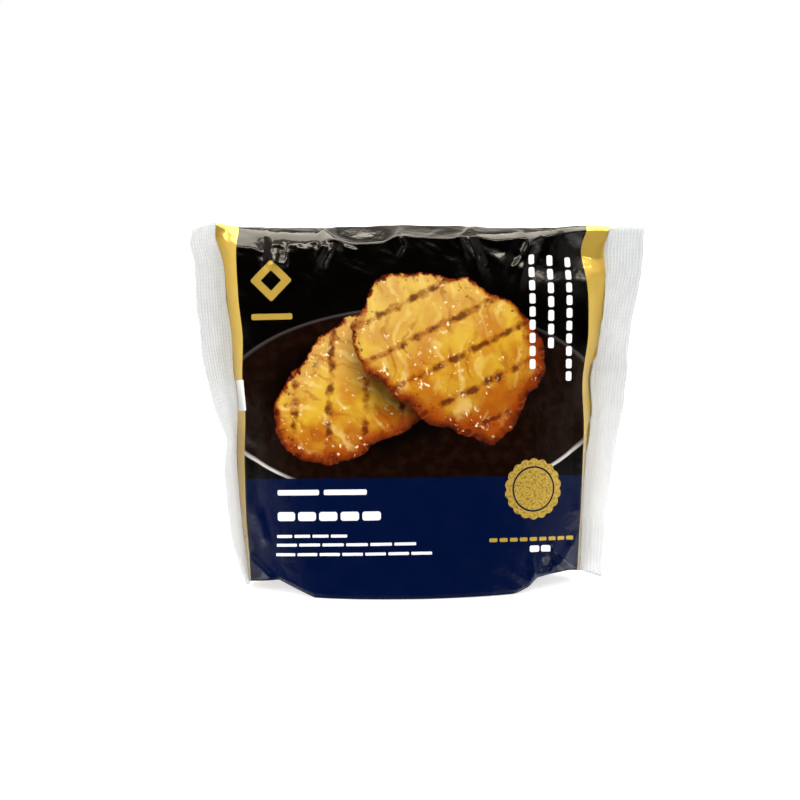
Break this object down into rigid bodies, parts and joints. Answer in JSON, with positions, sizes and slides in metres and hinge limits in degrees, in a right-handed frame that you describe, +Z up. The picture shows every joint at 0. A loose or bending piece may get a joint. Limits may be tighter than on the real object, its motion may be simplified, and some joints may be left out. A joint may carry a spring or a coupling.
{
  "type": "onigiri rice ball in a film pack",
  "caption": "Rice ball shut in an opaque printed film pack that stands on its gusseted base, with a crimped seal at each end and a pleated roof fold.",
  "frame": {"origin": "on the surface that the pack stands on, under the middle of its front panel's width and halfway between its front and back", "axes": "+Z up, -Y out of the front panel, +X to the right as the front is seen"},
  "size_m": [0.111, 0.0328, 0.09],
  "materials": {
    "printed_film": "black and navy film with gold side stripes, satin gloss, softly creased",
    "seal_film": "milky white crimped film"
  },
  "bodies": {
    "root": {"onigiri_pack": "printed_film"}
  },
  "joints": []
}
